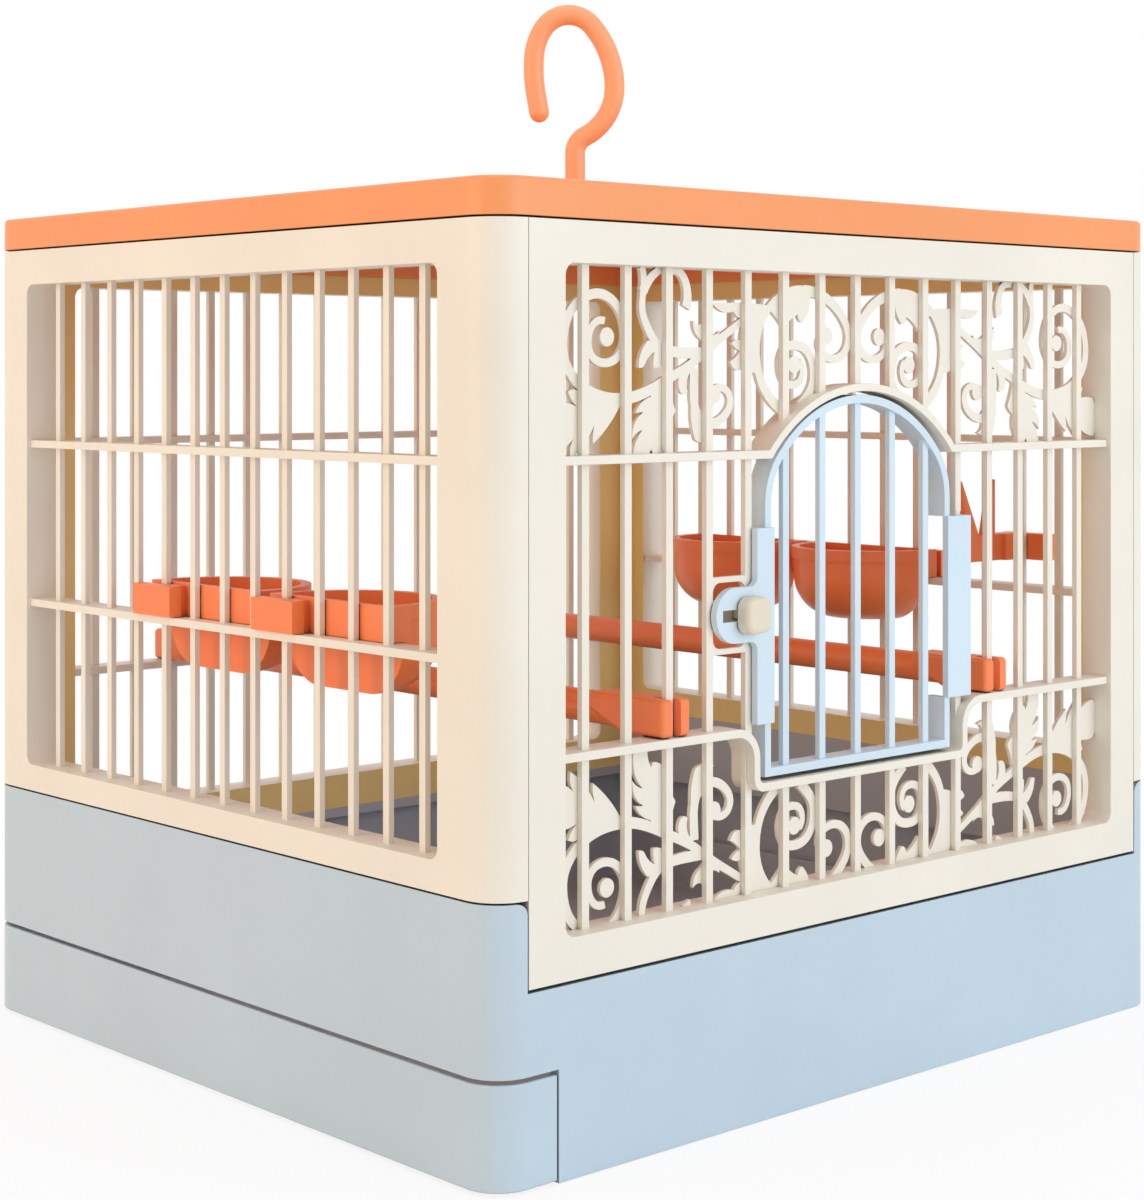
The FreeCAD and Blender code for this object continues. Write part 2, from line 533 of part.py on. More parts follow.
def arch(grow, y, foot, spread=0):
    """A closed solid of the door's outline, spread sideways and grown, between two places along y."""
    reach, haunch, rise = size["door_reach"] + spread, size["door_haunch"], size["door_rise"]
    drop = ((reach - haunch) ** 2 - (rise - haunch) ** 2) / (2 * (rise - haunch))
    crown = rise + drop
    lean = math.atan2(drop, reach - haunch)
    spring = size["door_spring"]
    right = Vector(reach - haunch, y[0], spring)
    left = Vector(haunch - reach, y[0], spring)
    middle = Vector(0, y[0], spring - drop)
    corners = [Vector(side * (reach + grow), y[0], foot) for side in (-1, 1)]
    shoulders = [Vector(side * (reach + grow), y[0], spring) for side in (-1, 1)]
    edges = [Part.makeLine(corners[0], corners[1]), Part.makeLine(corners[1], shoulders[1]),
             bend(right, haunch + grow, 0, lean), bend(middle, crown + grow, lean, math.pi - lean),
             bend(left, haunch + grow, math.pi - lean, math.pi), Part.makeLine(shoulders[0], corners[0])]
    return Part.Face(Part.Wire(edges)).extrude(Vector(0, y[1] - y[0], 0))


def ribbon(points, rounds, width, y):
    """A band of even width along a path of straight runs and round corners, between two places along y."""
    edges = []
    start = points[0]
    for before, corner, after, radius in zip(points, points[1:], points[2:], rounds):
        into = (corner - before).normalize()
        out = (after - corner).normalize()
        turn = into.getAngle(out)
        trim = radius * math.tan(turn / 2)
        first = corner - into * trim
        last = corner + out * trim
        inward = (out - into).normalize()
        centre = corner + inward * (radius / math.cos(turn / 2))
        edges.append(Part.makeLine(start, first))
        edges.append(Part.Arc(first, centre - inward * radius, last).toShape())
        start = last
    edges.append(Part.makeLine(start, points[-1]))
    along = (points[1] - points[0]).normalize()
    side = Vector(-along.z, 0, along.x) * (width / 2)
    depth = Vector(0, y[1] - y[0], 0)
    corner = points[0] + Vector(0, y[0] - points[0].y, 0)
    section = Part.makePolygon([corner + side, corner - side, corner - side + depth, corner + side + depth,
                                corner + side])
    return Part.Wire(edges).makePipeShell([section], True, False)


rail_y = (front_face + size["rail_setback"], front_face + size["rail_setback"] + size["rail_depth"])
through_y = (front_face - size["overrun"], front_face + size["panel_thickness"] + size["overrun"])
sill_line = size["door_foot"] - size["door_gap"] - half_rail
hinge_x = size["bar_pitch"] * (size["door_bars"] + 1) / 2
grown = size["door_gap"] + size["surround_band"]


def lower_ribbon():
    """The lower front rail, which steps down to a sill under the door."""
    riser = size["door_reach"] + size["riser_gap"] + half_rail
    path = [(-window_reach, size["lower_rail"]), (-riser, size["lower_rail"]), (-riser, sill_line),
            (riser, sill_line), (riser, size["lower_rail"]), (window_reach, size["lower_rail"])]
    rounds = [size["riser_round"], size["sill_round"], size["sill_round"], size["riser_round"]]
    return ribbon([Vector(x, 0, z) for x, z in path], rounds, size["rail_size"], rail_y)


def upper_ribbon():
    """The upper front rail, which rises in an arch over the door."""
    low = size["upper_rail"] - half_rail
    above = block((-window_reach, window_reach), rail_y, (low, window_head))
    spread = size["surround_spread"]
    opening = arch(size["door_gap"], through_y, sill_line, spread)
    ring = arch(grown, rail_y, size["door_foot"], spread).cut(opening)
    rail = block((-window_reach, window_reach), rail_y, (low, size["upper_rail"] + half_rail))
    sides = rail.cut(arch(grown - size["surround_band"] / 2, through_y, size["door_foot"], spread))
    return ring.common(above).fuse(sides).removeSplitter()


def bar_places():
    """Where the front bars stand, from left to right."""
    return [i * size["bar_pitch"] for i in range(-end_bar_steps, end_bar_steps + 1)]


def front_bar_solids():
    """The front bars, broken by the doorway, with a round hinge bar in the door's sleeve."""
    doorway = arch(grown, through_y, sill_line - half_rail, size["surround_spread"])
    bars = []
    for x in bar_places():
        bar = block((x - half_bar, x + half_bar), bar_y, (window_foot, window_head))
        if abs(x) < hinge_x - half_bar:
            bar = bar.cut(doorway)
        if near(x, hinge_x):
            sleeve = (size["lower_rail"] + half_rail, plate_head + size["door_gap"])
            pin = Part.makeCylinder(half_bar, sleeve[1] - sleeve[0], Vector(x, bar_line, sleeve[0]))
            bar = bar.cut(block((x - half_bar, x + half_bar), through_y, sleeve)).fuse(pin)
        bars.extend(bar.Solids)
    return bars


def front_bars(bars):
    return keep(shaped("front_bars", Part.makeCompound(bars)), "front_bars")


def front_rails(bars):
    """The two front rails, with the bars passing through them."""
    keep(shaped("front_upper_rail", upper_ribbon().cut(bars)), "front_upper_rail")
    keep(shaped("front_lower_rail", lower_ribbon().cut(bars)), "front_lower_rail")


def tab_middle():
    """Middle of the latch tab's round end, as x and height."""
    return -size["door_reach"] - size["tab_reach"], tab_height


def latch_keeper():
    """Webs between two front bars, above and below the latch tab, rounded into the bars."""
    x, z = tab_middle()
    bars = [place for place in bar_places() if abs(place - x) < size["bar_pitch"]]
    span = (min(bars) + half_bar, max(bars) - half_bar)
    fillet = size["keeper_round"]
    webs = []
    for side in (-1, 1):
        level = z + side * (size["tab_radius"] + size["keeper_gap"])
        web = block(span, bar_y, sorted((level, level + side * size["keeper_height"])))
        for end, inward in zip(span, (1, -1)):
            middle = Vector(end + inward * fillet, front_face, level - side * fillet)
            corner = block(sorted((end, middle.x)), bar_y, sorted((level, middle.z)))
            room = Part.makeCylinder(fillet, size["panel_thickness"], middle, Vector(0, 1, 0))
            web = web.fuse(corner.cut(room))
        webs.extend(web.removeSplitter().Solids)
    return keep(shaped("latch_keeper", Part.makeCompound(webs)), "latch_keeper")


def band_place(share, y, foot, head):
    """A place in a band of the front window, from shares of half its width and of its height."""
    return Vector((share[0] - 1) * window_reach, y, foot + share[1] * (head - foot))


def stroke(points):
    """A flat tapered stroke along a smooth curve through points."""
    curve = Part.BSplineCurve()
    curve.interpolate(points)
    sides = ([], [])
    last = len(points) - 1
    for i, point in enumerate(points):
        along = curve.tangent(curve.parameter(point))[0]
        width = size["scroll_stem"] + (size["scroll_tip"] - size["scroll_stem"]) * i / last
        step = Vector(-along.z, 0, along.x).normalize() * (width / 2)
        sides[0].append(point + step)
        sides[1].append(point - step)
    rims = []
    for side in sides:
        rim = Part.BSplineCurve()
        rim.interpolate(side)
        rims.append(rim.toShape())
    caps = [Part.makeLine(sides[0][i], sides[1][i]) for i in (0, last)]
    return Part.Face(Part.Wire(Part.__sortEdges__([rims[0], caps[1], rims[1], caps[0]])))


def leaf_face(points):
    """A flat leaf whose corners are joined by arcs, each through the place between two corners."""
    corners = points[::2]
    places = points[1::2]
    edges = [Part.Arc(*arc).toShape() for arc in zip(corners, places, corners[1:] + corners[:1])]
    return Part.Face(Part.Wire(edges))


def scrollwork(name, foot, head, room, clear):
    """A flat sheet of stems, buds and leaves behind the front bars, the same on both sides."""
    y = bar_back + size["scroll_gap"]
    faces = [stroke([band_place(share, y, foot, head) for share in stem]) for stem in STEM_SHARES]
    faces += [leaf_face([band_place(share, y, foot, head) for share in leaf]) for leaf in LEAF_SHARES]
    for bud in BUD_SHARES:
        disc = Part.makeCircle(size["scroll_bud"], band_place(bud, y, foot, head), Vector(0, 1, 0))
        faces.append(Part.Face(Part.Wire([disc])))
    solids = [face.extrude(Vector(0, size["scroll_depth"], 0)) for face in faces]
    half = solids[0].multiFuse(solids[1:])
    whole = half.fuse(half.mirror(Vector(), Vector(1, 0, 0)))
    window = block((-window_reach, window_reach), through_y, room)
    trimmed = whole.common(window).cut(clear)
    return keep(shaped(name, Part.makeCompound(trimmed.removeSplitter().Solids)), name)


def door():
    """The arched door, with its bars, hinge sleeve and latch plate."""
    front = front_face + size["door_setback"]
    depth = (front, front + size["door_depth"])
    band = size["door_band"]
    outer = arch(0, depth, size["door_foot"])
    inner = arch(-band, (depth[0] - size["overrun"], depth[1] + size["overrun"]), size["door_foot"] + band)
    edge = size["door_reach"] - band
    plate_z = (size["plate_foot"], plate_head)
    face = front_face + size["plate_setback"]
    plate_y = (face, bar_y[0] - size["plate_bar_gap"])
    relief = block((edge - size["overrun"], hinge_x), (plate_y[1], through_y[1]), plate_z)
    frame = outer.cut([inner, relief])
    count = int(size["door_bars"])
    fill = arch(-band / 2, depth, size["door_foot"] + band / 2)
    bars = []
    for i in range(count):
        x = (i - (count - 1) / 2) * size["bar_pitch"]
        bar = block((x - half_bar, x + half_bar), bar_y,
                    (size["door_foot"], size["door_spring"] + size["door_rise"]))
        bars.append(bar.common(fill))
    leaf = block((edge, hinge_x), plate_y, plate_z)
    edge = -size["door_reach"] - size["plate_overlap"]
    plate = block((edge, edge + size["plate_width"]), plate_y, plate_z)
    link = block((-size["door_reach"], -size["door_reach"] + band), (face, bar_line), plate_z)
    x, z = tab_middle()
    tab = Part.makeCylinder(size["tab_radius"], plate_y[1] - plate_y[0], Vector(x, plate_y[0], z),
                            Vector(0, 1, 0))
    neck = block((x, edge + size["plate_width"]), plate_y, (z - size["tab_radius"], z + size["tab_radius"]))
    fillet = size["tab_fillet"]
    reach = size["tab_radius"] + fillet
    flare = block((edge - fillet, edge), plate_y, (z - reach, z + reach))
    for level in (z - reach, z + reach):
        flare = flare.cut(Part.makeCylinder(fillet, plate_y[1] - plate_y[0],
                                            Vector(edge - fillet, plate_y[0], level), Vector(0, 1, 0)))
    sleeve = block((hinge_x - size["sleeve_width"] / 2, hinge_x + size["sleeve_width"] / 2),
                   (face, bar_line + size["sleeve_back"]), plate_z)
    body = frame.multiFuse(bars + [plate, link, tab, neck, flare, leaf, sleeve])
    bore = Part.makeCylinder(half_bar + size["hinge_gap"], size["panel_top"], Vector(hinge_x, bar_line, 0))
    knob_x = -size["door_reach"] - size["knob_inset"]
    half_shank = size["shank_length"] / 2 + size["latch_gap"]
    slot = block((knob_x + half_shank - size["slot_length"], knob_x + half_shank),
                 (face - size["overrun"], plate_y[1] + size["overrun"]),
                 (z - size["slot_height"] / 2, z + size["slot_height"] / 2))
    return keep(shaped("door", body.cut(bore).cut(slot).removeSplitter()), "door")


def latch_knob():
    body = new_body("latch_knob")
    middle = "-door_reach - knob_inset"
    face = "-body_depth/2 + plate_setback"
    box(body, "knob_cap", (middle + " - knob_length/2", middle + " + knob_length/2"),
        (face + " - latch_gap - knob_depth", face + " - latch_gap"),
        ("tab_height - knob_height/2", "tab_height + knob_height/2"))
    back = front_face + size["plate_setback"] - size["latch_gap"]
    round_edges(body, "knob_corners", "knob_corner",
                lambda e: not near(e.Vertexes[0].Y, e.Vertexes[1].Y))
    round_edges(body, "knob_face", "knob_round", lambda e: at(e, y=back - size["knob_depth"]))
    shank_end = "-body_depth/2 + bar_setback + bar_depth/2 + plate_bar_gap + bolt_seat"
    box(body, "knob_shank", (middle + " - shank_length/2", middle + " + shank_length/2"),
        (face + " - latch_gap", shank_end),
        ("tab_height - slot_height/2 + latch_gap", "tab_height + slot_height/2 - latch_gap"))
    return keep(body, "latch_knob")


def latch_bolt():
    body = new_body("latch_bolt")
    middle = "-door_reach - knob_inset"
    foot = "-body_depth/2 + bar_setback + bar_depth/2 + plate_bar_gap"
    box(body, "bolt_plate", (middle + " - bolt_offset - bolt_length/2", middle + " + shank_length/2"),
        (foot, foot + " + bolt_depth"),
        ("tab_height - bolt_height/2", "tab_height + bolt_height/2"))
    box(body, "shank_seat", (middle + " - shank_length/2", middle + " + shank_length/2 + overrun"),
        (foot + " - overrun", foot + " + bolt_seat"),
        ("tab_height - slot_height/2 + latch_gap", "tab_height + slot_height/2 - latch_gap"), cut=True)
    return keep(body, "latch_bolt")


def lid():
    body = new_body("lid")
    top = "panel_top + lid_height"
    neck_x = "body_width/2 - seam_depth"
    neck_y = "body_depth/2 - seam_depth"
    box(body, "lid_neck", ("-(%s)" % neck_x, neck_x), ("-(%s)" % neck_y, neck_y),
        ("panel_top", "panel_top + fine_seam"))
    round_edges(body, "neck_corners", "corner_radius - seam_depth",
                lambda e: corner_edge(e, half_width - size["seam_depth"], half_depth - size["seam_depth"]))
    box(body, "lid_block", ("-body_width/2", "body_width/2"), ("-body_depth/2", "body_depth/2"),
        ("panel_top + fine_seam", top))
    round_edges(body, "lid_corners", "corner_radius",
                lambda e: corner_edge(e, half_width, half_depth))
    round_edges(body, "lid_edge", "lid_round",
                lambda e: at(e, z=size["panel_top"] + size["lid_height"]))
    lip_x = "body_width/2 - panel_thickness - fit_gap"
    lip_y = "body_depth/2 - panel_thickness - fit_gap"
    box(body, "lid_lip", ("-(%s)" % lip_x, lip_x), ("-(%s)" % lip_y, lip_y),
        ("panel_top - lid_lip", "panel_top"))
    box(body, "lid_hollow", ("-(%s - lid_lip_wall)" % lip_x, lip_x + " - lid_lip_wall"),
        ("-(%s - lid_lip_wall)" % lip_y, lip_y + " - lid_lip_wall"),
        ("panel_top - lid_lip - overrun", top + " - lid_plate"), cut=True)
    upright_round(body, "hook_boss", "0", "0", ("panel_top", top), "boss_width/2")
    upright_round(body, "hook_bore", "0", "0", ("panel_top - overrun", top + " + overrun"),
                  "hook_wire/2 + hook_bore_gap", cut=True)
    return keep(body, "lid")


def hook():
    """A round wire bent like a question mark, drawn facing the front and then turned."""
    top = size["panel_top"] + size["lid_height"]
    foot = size["panel_top"] - size["slide_gap"] - size["ring_height"]
    place = Vector(0, 0, foot)
    heading = 0.0
    edges = [Part.makeLine(place, Vector(0, 0, top + size["hook_stem"]))]
    place = Vector(0, 0, top + size["hook_stem"])
    bends = [("hook_neck", HOOK_NECK_TURN), ("hook_belly", -HOOK_NECK_TURN), ("hook_flank", -HOOK_FLANK_TURN),
             ("hook_crown", -HOOK_CROWN_TURN), ("hook_shoulder", -HOOK_SHOULDER_TURN),
             ("hook_mouth", -HOOK_MOUTH_TURN)]
    for name, degrees in bends:
        radius = size[name]
        turn = math.radians(degrees)
        side = 1 if turn > 0 else -1
        centre = place + Vector(math.cos(heading), 0, -math.sin(heading)) * (side * radius)
        steps = [centre - Vector(math.cos(heading + turn * part), 0, -math.sin(heading + turn * part))
                 * (side * radius) for part in (0, 0.5, 1)]
        edges.append(Part.Arc(*steps).toShape())
        place = steps[2]
        heading += turn
    end = place + Vector(math.sin(heading), 0, math.cos(heading)) * size["hook_tip"]
    edges.append(Part.makeLine(place, end))
    radius = size["hook_wire"] / 2
    section = Part.Wire([Part.makeCircle(radius, Vector(0, 0, foot), Vector(0, 0, 1))])
    wire = Part.Wire(edges).makePipeShell([section], True, False)
    tip = Part.makeSphere(radius, end)
    return keep(shaped("hook", wire.fuse(tip).removeSplitter()), "hook", HOOK_HEADING)


def hook_retainer():
    body = new_body("hook_retainer")
    height = ("panel_top - slide_gap - ring_height", "panel_top - slide_gap")
    upright_round(body, "ring", "0", "0", height, "ring_width/2")
    upright_round(body, "ring_bore", "0", "0", (height[0] + " - overrun", height[1] + " + overrun"),
                  "hook_wire/2", cut=True)
    return keep(body, "hook_retainer")


def clip_solids(bar, foot, back):
    """A clip on a left-hand bar: a block outside it and a web beside it, back to a place along x."""
    outside = (-half_width, -half_width + size["bar_setback"] - size["bar_depth"] / 2 - size["clip_gap"])
    side = bar - half_bar - size["clip_gap"]
    z = (foot, foot + size["clip_height"])
    plate = block(outside, (bar - size["clip_width"] / 2, bar + size["clip_width"] / 2), z)
    web = block((outside[0], back), (side - size["clip_web"], side), z)
    return [plate, web]


def feed_cup(name, step, turn):
    """A half-round cup with a lip, hung beside a bar of the left panel and then turned."""
    bar = step * size["bar_pitch"]
    back = -half_width + size["panel_thickness"] + size["cup_standoff"]
    foot = size["side_rail"] + half_rail + size["rest_gap"]
    top = foot + size["cup_rise"]
    middle = Vector(back, bar - size["cup_offset"], top)

    def bowl(inset, lift):
        radius = size["cup_radius"] - inset
        centre = middle - Vector(0, 0, size["cup_side"])
        round_radius = size["cup_bottom"] - inset
        side = Vector(0, -radius, 0)
        rise = Vector(0, 0, size["cup_side"] + lift)
        drop = Vector(0, 0, -round_radius)
        pivot = centre + side + Vector(0, round_radius, 0)
        slant = Vector(0, -round_radius, -round_radius) * math.sqrt(0.5)
        edges = [Part.makeLine(centre + rise, centre + rise + side),
                 Part.makeLine(centre + rise + side, centre + side),
                 Part.Arc(centre + side, pivot + slant, pivot + drop).toShape(),
                 Part.makeLine(pivot + drop, centre + drop), Part.makeLine(centre + drop, centre + rise)]
        return Part.Face(Part.Wire(edges)).revolve(centre, Vector(0, 0, 1), 180)

    wall = size["cup_wall"]
    rim = Vector(0, -size["cup_radius"] - size["cup_lip"], 0)
    drop = Vector(0, 0, -size["cup_lip_height"])
    section = Part.makePolygon([middle, middle + rim, middle + rim + drop, middle + drop, middle])
    lip = Part.Face(section).revolve(middle, Vector(0, 0, 1), 180)
    front = -half_width + size["bar_setback"] + size["bar_depth"] / 2 + size["clip_gap"]
    ledge = block((front, back + wall), (middle.y + rim.y, bar + size["clip_width"] / 2),
                  (foot, top))
    inside = size["cup_radius"] - wall
    trough = block((front + wall, back + 2 * wall), (middle.y - inside, middle.y + inside),
                   (foot + wall, top + size["overrun"]))
    room = block((back + wall, back + size["cup_radius"]), (middle.y - inside, middle.y + inside),
                 (top - size["cup_side"] - size["cup_bottom"], top + size["overrun"]))
    hollow = bowl(wall, size["overrun"]).common(room)
    cup = bowl(0, 0).multiFuse([lip, ledge]).cut([hollow, trough]).removeSplitter()
    cup = cup.multiFuse(clip_solids(bar, foot, front + wall))
    return keep(shaped(name, cup), name, turn)


def perch(name, steps):
    """A round rod from front to back, with an end clip that straddles a bar and sits on the rail."""
    x = math.copysign(hinge_x, steps) + steps * size["bar_pitch"]
    foot = size["lower_rail"] + half_rail + size["rest_gap"]
    end = half_depth - size["perch_end_setback"]
    half_clip = size["perch_clip_width"] / 2
    inside = end - size["perch_clip_length"]
    top = foot + size["perch_clip_height"]
    rod_end = inside + size["perch_taper"]
    rod = Part.makeCylinder(size["perch_width"] / 2, 2 * rod_end,
                            Vector(x, -rod_end, foot + size["perch_clip_height"] / 2), Vector(0, 1, 0))
    solids = []
    for side in (-1, 1):
        outline = [(end, foot), (end, top), (inside, top), (inside, foot + size["perch_taper_rise"]),
                   (rod_end, foot)]
        points = [Vector(x - half_clip, side * y, z) for y, z in outline]
        profile = Part.Face(Part.makePolygon(points + points[:1]))
        clip = profile.extrude(Vector(size["perch_clip_width"], 0, 0))
        clip = clip.makeFillet(size["perch_clip_round"], clip.Edges)
        shoulder = half_depth - size["bar_setback"] - size["bar_depth"] / 2 - size["perch_grip"]
        mouth = sorted((side * shoulder, side * (end + size["overrun"])))
        slot = block((x - half_bar - size["clip_gap"], x + half_bar + size["clip_gap"]), mouth,
                     (foot - size["overrun"], top + size["overrun"]))
        solids.append(clip.cut(slot))
    return keep(shaped(name, rod.multiFuse(solids).removeSplitter()), name)


def fruit_fork():
    """A clip with one upright and one leaning prong, made on the left and turned to the right panel."""
    bar = (side_bar_steps - FORK_END_STEPS) * size["bar_pitch"]
    back = -half_width + size["panel_thickness"] + size["cup_standoff"]
    y = bar - half_bar - size["clip_gap"] - size["clip_web"] / 2
    head = size["fork_foot"] + size["clip_height"]
    first = back + size["fork_inset"]
    reach = first + size["fork_reach"] + size["fork_root"]
    arm = block((back - size["cup_wall"], reach), (y - size["fork_blade"] / 2, y + size["fork_blade"] / 2),
                (size["fork_foot"], head))
    prongs = []
    for root, lean in ((first, 0), (first + size["fork_reach"], size["fork_lean"])):
        outline = [(root, head), (root + size["fork_root"], head),
                   (root + lean + size["fork_point"], head + size["fork_prong"]),
                   (root + lean, head + size["fork_prong"])]
        points = [Vector(x, y - size["fork_blade"] / 2, z) for x, z in outline]
        blade = Part.Face(Part.makePolygon(points + points[:1]))
        prongs.append(blade.extrude(Vector(0, size["fork_blade"], 0)))
    solids = prongs + clip_solids(bar, size["fork_foot"], back)
    return keep(shaped("fruit_fork", arm.multiFuse(solids).removeSplitter()), "fruit_fork", 180)


def build():
    base()
    drawer_front()
    litter_tray()
    side_panel("left_panel", 0)
    side_panel("right_panel", 180)
    back_panel()
    front_frame()
    bars = front_bar_solids()
    front_bars(bars)
    front_rails(bars)
    latch_keeper()
    clear = [arch(grown, through_y, sill_line, size["surround_spread"]), lower_ribbon()]
    lower_room = (window_foot, size["lower_rail"] - half_rail)
    upper_room = (size["upper_rail"] + half_rail, window_head)
    upper_foot = window_head - size["scroll_drop"]
    scrollwork("lower_scrollwork", *lower_room, lower_room, clear)
    scrollwork("upper_scrollwork", upper_foot, upper_foot + lower_room[0] - lower_room[1], upper_room, clear)
    door()
    latch_knob()
    latch_bolt()
    lid()
    hook()
    hook_retainer()
    for side, turn in (("left", 0), ("right", 180)):
        for end, step in CUP_STEPS.items():
            feed_cup("feed_cup_%s_%s" % (side, end), step if turn == 0 else -step, turn)
    for name, steps in PERCH_DOOR_STEPS.items():
        perch(name, steps)
    fruit_fork()


def write():
    """Check every object, then write each piece to its own file."""
    doc.recompute()
    for item in doc.Objects:
        if "Invalid" in item.State or "Error" in item.State:
            raise RuntimeError("%s did not build: %s" % (item.Label, item.State))
    for piece in parts:
        shape = piece.Shape
        if shape.isNull() or not shape.isValid():
            raise RuntimeError("%s has no valid shape" % piece.Label)
    os.makedirs("parts", exist_ok=True)
    for piece in parts:
        piece.Shape.exportStep(os.path.join("parts", piece.Label + ".step"))
        bounds = piece.Shape.BoundBox
        print("%-20s %2d solids %9.1f mm3  x %.1f..%.1f  y %.1f..%.1f  z %.1f..%.1f" % (
            piece.Label, len(piece.Shape.Solids), piece.Shape.Volume, bounds.XMin, bounds.XMax,
            bounds.YMin, bounds.YMax, bounds.ZMin, bounds.ZMax))


build()
write()
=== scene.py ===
"""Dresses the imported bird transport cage: moulded plastic finishes, softened edges, studio stage."""
import math

import bpy
from bpy.props import FloatProperty, FloatVectorProperty, PointerProperty
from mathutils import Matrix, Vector


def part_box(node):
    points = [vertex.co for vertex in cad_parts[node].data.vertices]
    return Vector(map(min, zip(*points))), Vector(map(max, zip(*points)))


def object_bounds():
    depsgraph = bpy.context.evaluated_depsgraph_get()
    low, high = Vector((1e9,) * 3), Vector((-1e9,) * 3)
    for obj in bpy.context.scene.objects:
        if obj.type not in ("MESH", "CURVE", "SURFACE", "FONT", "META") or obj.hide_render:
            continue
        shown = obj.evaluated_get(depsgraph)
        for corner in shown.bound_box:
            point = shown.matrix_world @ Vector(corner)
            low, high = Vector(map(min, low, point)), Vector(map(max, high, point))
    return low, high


bl_info = {
    "name": "Bird Transport Cage",
    "version": (1, 0, 0),
    "blender": (4, 5, 0),
    "location": "3D View > Sidebar > Cage",
    "description": "Gives the packed cage its plastics, soft edges and studio",
    "category": "Object",
}

MILLIMETRE = 0.001
FAR = 1.0

# Painted shade in the seams between pieces: how far a facing wall counts, and the open shares that are
# darkest and plain
SEAM_SHADE = 0.12
SEAM_REACH = 3 * MILLIMETRE
SEAM_RAYS = 6
SEAM_CLOSED = 0.12
SEAM_OPEN = 0.42

# Moulded plastic: each noise as scale, detail and roughness, and the spans that it drives
NOISE_LOW = 0.3
NOISE_HIGH = 0.7
CLOUD_NOISE = (22, 4, 0.55)
CLOUD_DARK = 0.965
CLOUD_LIGHT = 1.02
SHEEN_NOISE = (60, 3, 0.5)
SHEEN_LESS = 0.05
SHEEN_MORE = 0.07
GRAIN_NOISE = (900, 3, 0.6)
GRAIN_STRENGTH = 0.08
GRAIN_DEPTH = 0.1 * MILLIMETRE
PLASTIC_IOR = 1.49

# Roughness of each plastic
CREAM_ROUGH = 0.42
LATCH_ROUGH = 0.36
BLUE_ROUGH = 0.4
DOOR_ROUGH = 0.38
ORANGE_ROUGH = 0.34
CORAL_ROUGH = 0.38
SLATE_ROUGH = 0.55

# Faces that look into the cage, which take painted warm light on the panels and painted shade in the base:
# how far one has to turn there to be all inside
PANEL_TURN = -0.08
BASE_TURN = -0.05
INNER_SKIN = 0.6 * MILLIMETRE
CREAM_GLOW = 0.08
CREAM_GLOW_REACH = (0.004, 0.003, 0.002)

# Rounded edges
JOIN = 0.01 * MILLIMETRE
SCROLL_JOIN_SHARE = 1 / 3
FLAT_ANGLE = math.radians(0.5)
EDGE_ANGLE = math.radians(40)
EDGE_STEPS = 3

# Studio floor: its reach, and the pale patch round the cage that fades into white
FLOOR_REACH = 6
FLOOR_DROP = 0.2 * MILLIMETRE
FLOOR_COLOUR = (0.9, 0.9, 0.9, 1)
FLOOR_ROUGH = 0.9
PATCH_NEAR = 0.15
PATCH_FAR = 0.3
PATCH_SHADE = 0.86
WHITE = (1, 1, 1, 1)

# Each lamp's place, size and colour
LAMPS = {
    "front light": ((0.35, -1.45, 0.45), 1.2, (0.84, 0.94, 1.0)),
    "side light": ((-1.45, 0.45, 0.4), 1.2, (1.0, 0.66, 0.36)),
    "top light": ((-0.1, -0.1, 1.6), 1.4, (1.0, 0.98, 0.95)),
}

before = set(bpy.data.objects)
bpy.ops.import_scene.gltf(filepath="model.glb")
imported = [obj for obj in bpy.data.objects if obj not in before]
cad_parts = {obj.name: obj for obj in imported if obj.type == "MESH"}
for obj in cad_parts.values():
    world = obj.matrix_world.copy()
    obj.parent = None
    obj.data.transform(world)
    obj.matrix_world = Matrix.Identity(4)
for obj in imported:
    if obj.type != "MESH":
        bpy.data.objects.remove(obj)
CAD_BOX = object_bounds()

SIDE_NODES = ("left_panel", "right_panel")
END_NODES = ("back_panel", "front_frame")
FRONT_NODES = ("front_bars", "front_upper_rail", "front_lower_rail", "latch_keeper")
SCROLL_NODES = ("upper_scrollwork", "lower_scrollwork")
BASE_NODES = ("base", "drawer_front")
LID_NODES = ("lid",)
HOOK_NODES = ("hook", "hook_retainer")
DOOR_NODES = ("door",)
LATCH_NODES = ("latch_knob", "latch_bolt")
CUP_NODES = tuple(sorted(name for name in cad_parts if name.startswith("feed_cup")))
PERCH_NODES = ("perch_left", "perch_right", "fruit_fork")


def colour_property(name, description, default):
    return FloatVectorProperty(name=name, description=description, subtype="COLOR", size=3, min=0, max=1,
                               default=default)


def length_property(name, description, default_mm):
    return FloatProperty(name=name, description=description, unit="LENGTH", min=0,
                         default=default_mm * MILLIMETRE, precision=5)


class CageColours(bpy.types.PropertyGroup):
    """Colours of the cage's plastics, as linear values."""
    cream: colour_property("Cream", "Panels, front bars, rails and scrollwork", (0.89, 0.83, 0.73))
    # Painted light: a warm ochre that stands in for the warm light and shade on the panels' inner faces
    cream_inside_painted_light: colour_property("Cream inside", "Faces of the panels that look into the cage",
                                  (0.93, 0.72, 0.3))
    latch: colour_property("Latch cream", "Latch knob and bolt", (0.82, 0.73, 0.58))
    blue: colour_property("Blue", "Base and drawer", (0.54, 0.655, 0.745))
    blue_door: colour_property("Door blue", "Door and its latch plate", (0.67, 0.80, 0.90))
    orange: colour_property("Orange", "Lid", (0.95, 0.335, 0.12))
    hook: colour_property("Hook orange", "Hook and the ring on its stem", (0.98, 0.42, 0.2))
    coral: colour_property("Coral", "Cups, perches and fork", (0.99, 0.24, 0.075))
    # The litter tray's own grey, and also painted shade: the faces inside the base take it where the blue
    # is in shade
    slate_and_painted_base_shade: colour_property("Slate", "Litter tray and the inside of the base", (0.47, 0.51, 0.58))


